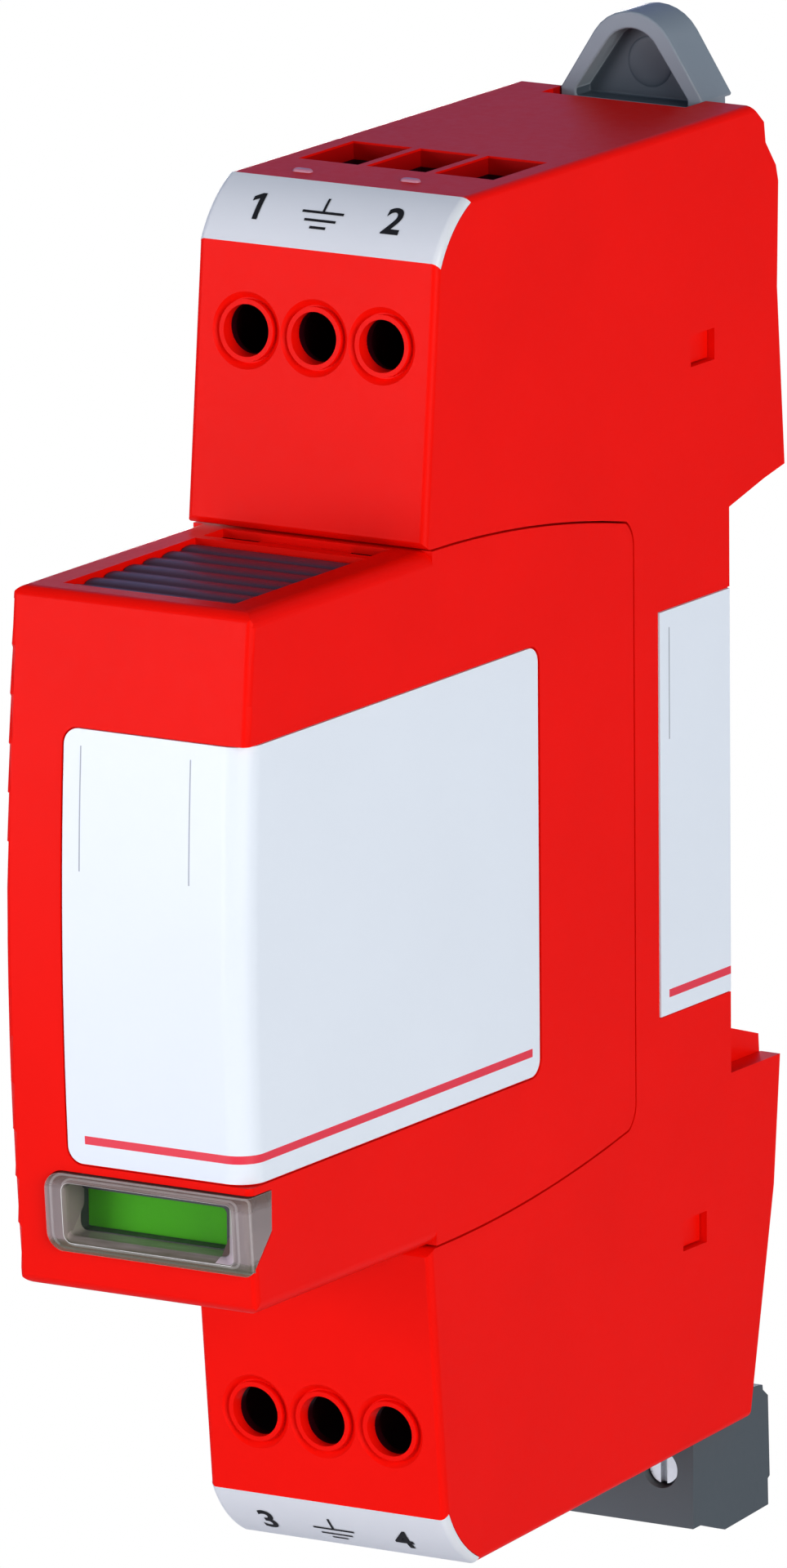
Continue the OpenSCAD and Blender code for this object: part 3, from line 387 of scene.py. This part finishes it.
def lens_plastic(name, alpha, marks=()):
    """Clear plastic of the lens, with painted reflections and shade as tones by height at the foot, the middle
    and the top, crossed by long streaks.
    """
    material, nodes, links, shader, where = new_material(name)
    split = nodes.new("ShaderNodeSeparateXYZ")
    links.new(where, split.inputs[0])
    height = nodes.new("ShaderNodeMapRange")
    height.inputs["From Min"].default_value = LENS_Z[0]
    height.inputs["From Max"].default_value = LENS_Z[1]
    links.new(split.outputs["Z"], height.inputs["Value"])
    long = nodes.new("ShaderNodeVectorMath")
    long.operation = "MULTIPLY"
    long.inputs[1].default_value = LENS_STREAKS
    links.new(where, long.inputs[0])
    streaks = spread(nodes, links, noise(nodes, links, long.outputs[0], 1.0), -0.08, 0.08)
    ramp = nodes.new("ShaderNodeValToRGB")
    stops = ramp.color_ramp.elements
    while len(stops) < len(LENS_REFLECTION_TONES):
        stops.new(0.5)
    for stop, (place, colour) in zip(stops, LENS_REFLECTION_TONES):
        stop.position = place
        stop.color = (*colour, 1)
    links.new(math_node(nodes, links, "ADD", height.outputs["Result"], streaks), ramp.inputs["Fac"])
    links.new(printed(nodes, links, where, ramp.outputs["Color"], marks), shader.inputs["Base Color"])
    links.new(spread(nodes, links, noise(nodes, links, where, 1.2), 0.05, 0.2), shader.inputs["Roughness"])
    shader.inputs["Alpha"].default_value = alpha
    return material


def red_plastic(name, marks=()):
    """The housings' plastic."""
    return moulded(name, RED, 0.42, 0.006, specular=0.05, marks=marks)


def grey_plastic(name, colour, marks=()):
    """The plastic of the latch and the signal plug."""
    return moulded(name, colour, 0.45, 0.006, specular=0.25, marks=marks)


def label_stock(name, marks=()):
    """Smooth white label."""
    return moulded(name, LABEL_WHITE, 0.38, 0.002, 0.02, marks=marks)


def marked(colour, places):
    """Marks of one colour."""
    return [(colour, place) for place in places]


MATERIALS = {
    "red_plastic": red_plastic("red_plastic"),
    "grey_plastic": grey_plastic("grey_plastic", GREY),
    "button_plastic": moulded("button_plastic", BUTTON_SHEEN_GREY, 0.42, 0.006, specular=0.2),
    "dark_plastic": moulded("dark_plastic", DARK, 0.5, 0.006),
    "marker_strip": moulded("marker_strip", STRIP_WHITE, 0.35, 0.002, 0.03),
    "label": label_stock("label"),
    "contact_metal": metal("contact_metal", COPPER, 0.32),
    "steel": metal("steel", STEEL, 0.3),
    "clear_plastic": lens_plastic("clear_plastic", 0.6),
    "green_flag": moulded("green_flag", GREEN, 0.5, 0.003, specular=0.1),
    "circuit_board": moulded("circuit_board", BOARD_GREEN, 0.4, 0.004),
    "ceramic": moulded("ceramic", CERAMIC, 0.45, 0.004),
    "varistor_coating": moulded("varistor_coating", VARISTOR_BLUE, 0.3, 0.01),
}

# Finishes of single pieces; besides print, their marks paint shade into the chambers, funnels, latch gaps, arm
# slots, loop pocket and lens seat
NODE_MATERIALS = {
    "module_label": label_stock("module_label", [(STRIPE_RED, MODULE_STRIPE), *marked(LINE_GREY, MODULE_RULES)]),
    "base_label": label_stock("base_label", [(STRIPE_RED, BASE_STRIPE), *marked(LINE_GREY, BASE_RULES)]),
    "base_housing": red_plastic("base_plastic", [
        *marked(SHADE_RED, TERMINAL_CHAMBERS), *marked(FUNNEL_SHADE_RED, FUNNELS + LATCH_GAPS)]),
    "rear_cover": red_plastic("cover_plastic", marked(FUNNEL_SHADE_RED, LATCH_GAPS)),
    "rail_latch": grey_plastic("latch_plastic", GREY, marked(POCKET_SHADE_GREY, LOOP_POCKET)),
    "module_housing": red_plastic("module_plastic", [*marked(SHADE_RED, ARM_SLOTS), (LENS_SHADE_BROWN, LENS_SEAT_SHADE)]),
    "signal_plug_housing": grey_plastic("connector_plastic", CONNECTOR_GREY),
}
# Screws and clamp cages take darkened steel, painted shade of the deep holes
shaded_steel = metal("shaded_steel", SHADED_STEEL, 0.4)
for number in range(1, 7):
    NODE_MATERIALS[f"terminal_screw_{number}"] = shaded_steel
    NODE_MATERIALS[f"clamp_cage_{number}"] = shaded_steel


def smooth_by_angle():
    """Node group that shades a mesh smooth across the edges flatter than SMOOTH_ANGLE."""
    group = bpy.data.node_groups.new("smooth_by_angle", "GeometryNodeTree")
    group.is_modifier = True
    for way in ("INPUT", "OUTPUT"):
        group.interface.new_socket("Geometry", in_out=way, socket_type="NodeSocketGeometry")
    nodes, links = group.nodes, group.links
    source, result = nodes.new("NodeGroupInput"), nodes.new("NodeGroupOutput")
    faces, edges = (nodes.new("GeometryNodeSetShadeSmooth") for _ in range(2))
    edges.domain = "EDGE"
    edges.inputs["Shade Smooth"].default_value = False
    angle = nodes.new("GeometryNodeInputMeshEdgeAngle")
    sharp = nodes.new("FunctionNodeCompare")
    sharp.operation = "GREATER_THAN"
    sharp.inputs["B"].default_value = math.radians(SMOOTH_ANGLE)
    links.new(angle.outputs["Unsigned Angle"], sharp.inputs["A"])
    links.new(sharp.outputs["Result"], edges.inputs["Selection"])
    links.new(source.outputs["Geometry"], faces.inputs["Geometry"])
    links.new(faces.outputs["Geometry"], edges.inputs["Geometry"])
    links.new(edges.outputs["Geometry"], result.inputs["Geometry"])
    return group


SMOOTH_GROUP = smooth_by_angle()


def add_bevel(obj, name, width, segments, angle, material=-1):
    """Rounds the edges sharper than an angle; material is the number of the slot that the rounding takes."""
    bevel = obj.modifiers.new(name, "BEVEL")
    bevel.width = width * MM
    bevel.segments = segments
    bevel.material = material
    bevel.angle_limit = math.radians(angle)


def even_normals(obj):
    """Lets the large faces set the shading of the rounded edges beside them."""
    obj.modifiers.new("even_normals", "WEIGHTED_NORMAL").keep_sharp = True


def soften(obj, width, edge_material=-1):
    """Shades a CAD piece's curves smooth and rounds its sharp edges, without changing its own mesh."""
    weld = obj.modifiers.new("weld", "WELD")
    weld.merge_threshold = WELD_GAP * MM
    if width:
        flat = obj.modifiers.new("flat_faces", "DECIMATE")
        flat.decimate_type = "DISSOLVE"
        flat.angle_limit = math.radians(FLAT_ANGLE)
        add_bevel(obj, "soft_edges", width, EDGE_SEGMENTS, EDGE_ANGLE, edge_material)
    smooth = obj.modifiers.new("smooth_curves", "NODES")
    smooth.node_group = SMOOTH_GROUP
    even_normals(obj)


for node, obj in NODES.items():
    obj.data.materials.clear()
    obj.data.materials.append(NODE_MATERIALS.get(node, MATERIALS[SLOTS[node]]))
    soften(obj, SOFT_EDGES.get(node, 0))


def add_piece(name, mesh, material, body):
    """Links a finished mesh as a piece that rides on a body. A material of None keeps the mesh's own."""
    if material:
        mesh.materials.clear()
        mesh.materials.append(material)
    piece = bpy.data.objects.new(name, mesh)
    bpy.context.collection.objects.link(piece)
    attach(piece, body)
    return piece


def mesh_from(name, points, faces):
    """A mesh from points in millimetres."""
    mesh = bpy.data.meshes.new(name)
    mesh.from_pydata([Vector(p) * MM for p in points], [], faces)
    mesh.update()
    return mesh


def baked(obj):
    """The mesh of an object with its modifiers or text outlines."""
    return bpy.data.meshes.new_from_object(obj.evaluated_get(bpy.context.evaluated_depsgraph_get()))


def strip_place(side, x, v):
    """A place on a marker strip's crowned face, at x along it and v up it; side is 1 above and -1 below."""
    slant = math.sqrt(0.5)
    depth = math.sqrt(STRIP_BOW_R ** 2 - STRIP_HALF ** 2)
    angle = side * v / STRIP_BOW_R
    reach = STRIP_BOW_R + INK_LIFT
    out = -slant * math.cos(angle) + slant * math.sin(angle)
    up = slant * math.cos(angle) + slant * math.sin(angle)
    y = STRIP_MIDDLE[0] + slant * depth + reach * out
    z = STRIP_MIDDLE[1] - slant * depth + reach * up
    return Vector((x, y, side * z)) * MM


def one_outline():
    """A flat figure 1 with its flag, in X and Y, in millimetres."""
    corners = [(0.0, -0.5), (0.18, -0.5), (0.18, 0.5), (0.04, 0.5), (-0.22, 0.34), (-0.22, 0.16), (0.0, 0.27)]
    outline = bmesh.new()
    outline.faces.new([outline.verts.new((x * DIGIT_H, y * DIGIT_H, 0)) for x, y in corners])
    return outline


def digit_outline(text):
    """A flat digit in X and Y, in millimetres, about its own middle."""
    if text == "1":
        return one_outline()
    curve = bpy.data.curves.new("digit", "FONT")
    curve.body = text
    curve.offset = DIGIT_WEIGHT
    obj = bpy.data.objects.new("digit", curve)
    bpy.context.collection.objects.link(obj)
    outline = bmesh.new()
    outline.from_mesh(baked(obj))
    bpy.data.objects.remove(obj)
    low = [min(v.co[i] for v in outline.verts) for i in (0, 1)]
    high = [max(v.co[i] for v in outline.verts) for i in (0, 1)]
    scale = DIGIT_H / (high[1] - low[1])
    for v in outline.verts:
        v.co = Vector((v.co.x - (low[0] + high[0]) / 2, v.co.y - (low[1] + high[1]) / 2, 0)) * scale
    return outline


def earth_outline():
    """The earth sign in X and Y, in millimetres: a stem over three bars."""
    bars = [(0.18, 0.0, 1.15), (3.1, -0.1, 0.1), (2.35, -0.71, -0.52), (1.2, -1.23, -1.04)]
    outline = bmesh.new()
    for width, low, high in bars:
        corners = [(-width / 2, low), (width / 2, low), (width / 2, high), (-width / 2, high)]
        outline.faces.new([outline.verts.new((x, y, 0)) for x, y in corners])
    return outline


def add_strip_print(name, outline, side, x, ink):
    """Bends a flat sign onto a marker strip."""
    for step in range(-PRINT_CUTS, PRINT_CUTS + 1):
        parts = outline.verts[:] + outline.edges[:] + outline.faces[:]
        bmesh.ops.bisect_plane(outline, geom=parts, plane_co=(0, PRINT_CUT * step, 0), plane_no=(0, 1, 0))
    for v in outline.verts:
        v.co = strip_place(side, x + v.co.x, v.co.y)
    mesh = bpy.data.meshes.new(name)
    outline.to_mesh(mesh)
    outline.free()
    add_piece(name, mesh, ink, "base")


def rounded(ranges, radii, steps=6):
    """Points of a rounded rectangle in X and Z, anticlockwise from its low right corner."""
    (left, right), (low, high) = ranges
    left_r, right_r = radii
    corners = [
        (right, low, right_r, -90),
        (right, high, right_r, 0),
        (left, high, left_r, 90),
        (left, low, left_r, 180),
    ]
    points = []
    for x, z, r, start in corners:
        cx = x - r if x == right else x + r
        cz = z - r if z == high else z + r
        for i in range(steps + 1):
            a = math.radians(start + 90 * i / steps)
            points.append((cx + r * math.cos(a), cz + r * math.sin(a)))
    return points


def closed_pair(name, near, far):
    """A closed solid between two outlines of as many points."""
    n = len(near)
    faces = [tuple(range(n)), tuple(range(2 * n - 1, n - 1, -1))]
    faces += [(i, n + i, n + (i + 1) % n, (i + 1) % n) for i in range(n)]
    return mesh_from(name, [*near, *far], faces)


def prism(name, outline, front, back):
    """A closed sheet of an outline in X and Z; front and back give Y at a height."""
    return closed_pair(name, *([(x, depth(z), z) for x, z in outline] for depth in (front, back)))


def ring_plate(name, outer, inner, y):
    """A flat closed plate between two outlines of as many points."""
    n = len(outer)
    points = [(x, depth, z) for depth in y for loop in (outer, inner) for x, z in loop]
    faces = []
    for i in range(n):
        j = (i + 1) % n
        faces += [(i, j, n + j, n + i), (2 * n + j, 2 * n + i, 3 * n + i, 3 * n + j),
                  (j, i, 2 * n + i, 2 * n + j), (n + i, n + j, 3 * n + j, 3 * n + i)]
    return mesh_from(name, points, faces)


def loft(name, rings):
    """A tube through rings of as many points each."""
    n = len(rings[0])
    faces = [(k * n + i, k * n + (i + 1) % n, (k + 1) * n + (i + 1) % n, (k + 1) * n + i)
             for k in range(len(rings) - 1) for i in range(n)]
    return mesh_from(name, [p for ring in rings for p in ring], faces)


def bead(name, path, r, sides=8):
    """A closed round bead along points that lie on the front of the part."""
    out = Vector((0, -1, 0))
    rings = []
    for i, point in enumerate(path):
        along = (Vector(path[(i + 1) % len(path)]) - Vector(path[i - 1])).normalized()
        across = along.cross(out).normalized()
        turns = [math.tau * k / sides for k in range(sides)]
        rings.append([Vector(point) + r * (math.cos(a) * across + math.sin(a) * out) for a in turns])
    mesh = loft(name, rings + rings[:1])
    mesh.shade_smooth()
    return mesh


def turn_outwards(mesh):
    """Closes a mesh's open ends, turns its faces outwards and shades it smooth."""
    solid = bmesh.new()
    solid.from_mesh(mesh)
    bmesh.ops.holes_fill(solid, edges=solid.edges)
    bmesh.ops.recalc_face_normals(solid, faces=solid.faces)
    solid.to_mesh(mesh)
    solid.free()
    mesh.shade_smooth()


def crown(z):
    """Y of the module's crowned front at a height."""
    return CROWN_Y + z * z / (2 * CROWN_R)


def lens_cap(edge_highlight):
    """The window's solid with soft edges and a deep opening cut into it; the rounded edges take the pale
    painted-highlight finish.
    """
    source = bpy.data.objects.new("lens_source", NODES["status_window"].data.copy())
    cutter = bpy.data.objects.new("lens_cutter", prism(
        "lens_cutter", rounded(LENS_OPENING, OPENING_R), lambda z: CUTTER_Y[0], lambda z: CUTTER_Y[1]))
    for obj in (source, cutter):
        bpy.context.collection.objects.link(obj)
    source.data.materials.clear()
    for finish in (MATERIALS["clear_plastic"], edge_highlight):
        source.data.materials.append(finish)
    soften(source, LENS_EDGE_W, edge_material=1)
    opening = source.modifiers.new("opening", "BOOLEAN")
    opening.object = cutter
    add_bevel(source, "opening_edge", OPENING_EDGE_W, 2, OPENING_EDGE_ANGLE, 1)
    cap = baked(source)
    for obj in (source, cutter):
        bpy.data.objects.remove(obj)
    return cap


def add_status_lens():
    """Clear cap with a deep opening, its pale edge beads that paint highlight lines, front pane and walls, and
    the dark bezel round the flag.
    """
    edge_highlight = clear_plastic("lens_edge_highlight", LENS_EDGE_HIGHLIGHT, 0.8)
    lens = add_piece("status_lens", lens_cap(edge_highlight), None, "module")
    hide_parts("status_window")
    for name, (ranges, radii) in LENS_HIGHLIGHT_LINES.items():
        path = [(x, crown(z), z) for x, z in rounded(ranges, radii)]
        add_piece(name, bead(name, path, LENS_LINE_R), edge_highlight, "module")
    pane = prism("lens_pane", rounded(LENS_OPENING, OPENING_R),
                 lambda z: crown(z) + PANE_SINK, lambda z: crown(z) + PANE_SINK + PANE_T)
    pane_finish = clear_plastic("lens_pane", PANE_TINT, 0.08, 0.15)
    add_piece("lens_pane", pane, pane_finish, "module")
    sleeve = loft("lens_sleeve", [[(x, y, z) for x, z in rounded(ranges, SLEEVE_R)] for ranges, y in SLEEVE])
    walls = lens_plastic("lens_walls", 1.0, marks=[(LENS_GLINT_PINK, LENS_END_GLINT)])
    wall = add_piece("lens_sleeve", sleeve, walls, "module")
    wall.modifiers.new("wall", "SOLIDIFY").thickness = SLEEVE_T * MM
    hole = rounded(BEZEL_OPENING, BEZEL_OPENING_R)
    for name, (outer, y) in BEZELS.items():
        ring = ring_plate(name, rounded(outer, BEZEL_R), hole, y)
        add_piece(name, ring, MATERIALS["dark_plastic"], "module")


def add_mound(name, centre, outline, height, axis, material, body):
    """A low mound with rounded shoulders on a flat face; axis is the face's outward direction."""
    steps, n = MOUND_STEPS, len(outline)
    points = []
    for i in range(steps + 1):
        a = math.radians(90 * i / steps)
        shrink, rise = 1 - MOUND_SHRINK * (1 - math.cos(a)), height * math.sin(a)
        for p, q in outline:
            flat = (p * shrink, -rise, q * shrink) if axis == "-y" else (p * shrink, q * shrink, rise)
            points.append(Vector(centre) + Vector(flat))
    faces = [tuple(range(steps * n, (steps + 1) * n))]
    for i in range(steps):
        for k in range(n):
            m = (k + 1) % n
            faces.append((i * n + k, i * n + m, (i + 1) * n + m, (i + 1) * n + k))
    mesh = mesh_from(name, points, faces)
    mesh.shade_smooth()
    add_piece(name, mesh, material, body)


def add_grip(name, side, front_y, count):
    """A release button: a pad with soft round ribs across it."""
    low, valley, crest = GRIP_Z
    middle = (front_y + GRIP_REAR) / 2
    top = [(front_y, valley)]
    for i in range(count):
        rib = middle + (i - (count - 1) / 2) * GRIP_PITCH
        for k in range(GRIP_RIB_STEPS + 1):
            a = math.pi * (1 - k / GRIP_RIB_STEPS)
            top.append((rib + GRIP_RIB_R * math.cos(a), valley + (crest - valley) * math.sin(a)))
    top.append((GRIP_REAR, valley))
    profile = [(front_y, low), *top, (GRIP_REAR, low)]
    ends = ([(x, y, side * z) for y, z in profile] for x in (-GRIP_HALF_W, GRIP_HALF_W))
    mesh = closed_pair(name, *ends)
    turn_outwards(mesh)
    pad = add_piece(name, mesh, MATERIALS["button_plastic"], name.replace("grip", "button"))
    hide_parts(name.replace("grip", "release_button"))
    add_bevel(pad, "soft_ends", GRIP_EDGE_W, 2, GRIP_EDGE_ANGLE)
    even_normals(pad)


def add_latch_spring():
    """Wound wire with closed end turns."""
    low, high = SPRING_Z[0] + SPRING_WIRE_R, SPRING_Z[1] - SPRING_WIRE_R
    wire = 2 * SPRING_WIRE_R
    rings = []
    for i in range(SPRING_STEPS * SPRING_TURNS + 1):
        turn = i / SPRING_STEPS
        open_share = min(max((turn - 1) / (SPRING_TURNS - 2), 0), 1)
        closed = min(turn, 1) + max(turn - (SPRING_TURNS - 1), 0)
        z = low + closed * wire + open_share * (high - low - 2 * wire)
        a = math.tau * turn
        ring = []
        for k in range(SPRING_SIDES):
            b = math.tau * k / SPRING_SIDES
            r = SPRING_R + SPRING_WIRE_R * math.cos(b)
            ring.append((r * math.cos(a), SPRING_MIDDLE_Y + r * math.sin(a), z + SPRING_WIRE_R * math.sin(b)))
        rings.append(ring)
    mesh = loft("coil_spring", rings)
    turn_outwards(mesh)
    spring = add_piece("coil_spring", mesh, MATERIALS["steel"], "base")
    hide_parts("latch_spring")
    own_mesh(spring)


ink = moulded("ink", INK, 0.6, 0.001, specular=0.1)
for side, label, digits in ((1, "upper", "12"), (-1, "lower", "34")):
    signs = [digit_outline(digits[0]), earth_outline(), digit_outline(digits[1])]
    for place, sign, x in zip(("left", "earth", "right"), signs, STRIP_PRINT_X):
        add_strip_print(f"{label}_print_{place}", sign, side, x, ink)
add_status_lens()
for place, (side, front_y, count) in GRIPS.items():
    add_grip(f"grip_{place}", side, front_y, count)
add_latch_spring()
# The nibs' pale pink is a painted highlight
nib_highlight_finish = moulded("nib_highlight_plastic", NIB_HIGHLIGHT_PINK, 0.4, 0.003)
for number, place in enumerate(NIBS, 1):
    add_mound(f"strip_nib_{number}", place, rounded(NIB, NIB_R), NIB_H, "+z", nib_highlight_finish, "base")
turns = [math.tau * i / EJECTOR_POINTS for i in range(EJECTOR_POINTS)]
disc = [(EJECTOR_R * math.cos(a), EJECTOR_R * math.sin(a)) for a in turns]
# The ejector mark sits in the loop's pocket and takes its painted shade
pocket_shade_finish = grey_plastic("pocket_shade_plastic", POCKET_SHADE_GREY)
add_mound("ejector_mark", EJECTOR_MARK, disc, EJECTOR_H, "-y", pocket_shade_finish, "latch")


def add_soft_box(name, location, size, power, colour):
    """A square soft box aimed at the part."""
    data = bpy.data.lights.new(name, "AREA")
    data.shape = "SQUARE"
    data.size = size
    data.energy = power
    data.color = colour
    light = bpy.data.objects.new(name, data)
    bpy.context.collection.objects.link(light)
    light.location = location
    light.rotation_euler = (Vector(LIGHT_TARGET) - Vector(location)).to_track_quat("-Z", "Y").to_euler()


def seen_white(nodes, links, lit, white, output):
    """Shows the camera plain white behind the part, while the part is lit by the room's own tone."""
    path = nodes.new("ShaderNodeLightPath")
    choice = nodes.new("ShaderNodeMixShader")
    links.new(path.outputs["Is Camera Ray"], choice.inputs["Fac"])
    links.new(lit.outputs[0], choice.inputs[1])
    links.new(white.outputs[0], choice.inputs[2])
    links.new(choice.outputs[0], output.inputs["Surface"])


def add_studio():
    """Pale floor, white surroundings and soft boxes."""
    low = cad_box[0][2]
    mesh = bpy.data.meshes.new("floor")
    corners = [(x * FLOOR_HALF, y * FLOOR_HALF) for x, y in ((-1, -1), (1, -1), (1, 1), (-1, 1))]
    mesh.from_pydata([(x, y, low - FLOOR_DROP) for x, y in corners], [], [(0, 1, 2, 3)])
    floor = bpy.data.objects.new("floor", mesh)
    bpy.context.collection.objects.link(floor)
    material, nodes, links, shader, where = new_material("floor")
    tone = noise(nodes, links, where, 0.01)
    links.new(mix(nodes, links, tone, *FLOOR_TONES), shader.inputs["Base Color"])
    shader.inputs["Roughness"].default_value = 0.9
    shader.inputs["Specular IOR Level"].default_value = 0.0
    shader.inputs["Emission Color"].default_value = (*WHITE, 1)
    shader.inputs["Emission Strength"].default_value = FLOOR_LIGHT
    white = nodes.new("ShaderNodeEmission")
    seen_white(nodes, links, shader, white, nodes["Material Output"])
    floor.data.materials.append(material)

    world = bpy.data.worlds.new("studio")
    world.use_nodes = True
    nodes, links = world.node_tree.nodes, world.node_tree.links
    room = nodes["Background"]
    room.inputs["Color"].default_value = (*ROOM_COLOUR, 1)
    room.inputs["Strength"].default_value = ROOM_LIGHT
    white = nodes.new("ShaderNodeBackground")
    white.inputs["Color"].default_value = (*WHITE, 1)
    seen_white(nodes, links, room, white, nodes["World Output"])
    bpy.context.scene.world = world

    for name, box in SOFT_BOXES.items():
        add_soft_box(name, *box)


def add_camera():
    """Camera at the photograph's place, aimed with its small roll."""
    back = Vector((
        math.sin(CAMERA_AZIMUTH) * math.cos(CAMERA_ELEVATION),
        -math.cos(CAMERA_AZIMUTH) * math.cos(CAMERA_ELEVATION),
        math.sin(CAMERA_ELEVATION)))
    right = Vector((math.cos(CAMERA_AZIMUTH), math.sin(CAMERA_AZIMUTH), 0))
    up = back.cross(right)
    c, s = math.cos(CAMERA_ROLL), math.sin(CAMERA_ROLL)
    right, up = c * right + s * up, c * up - s * right
    data = bpy.data.cameras.new("camera")
    data.sensor_fit = "VERTICAL"
    data.sensor_height = SENSOR
    data.lens = FOCAL_PX * SENSOR / IMAGE_H
    data.clip_start = 0.01
    camera = bpy.data.objects.new("camera", data)
    bpy.context.collection.objects.link(camera)
    turn = Matrix((right, up, back)).transposed().to_4x4()
    camera.matrix_world = Matrix.Translation(CAMERA_TARGET + back * CAMERA_DISTANCE) @ turn
    bpy.context.scene.camera = camera


add_studio()
add_camera()
bpy.context.scene.view_settings.view_transform = "Standard"
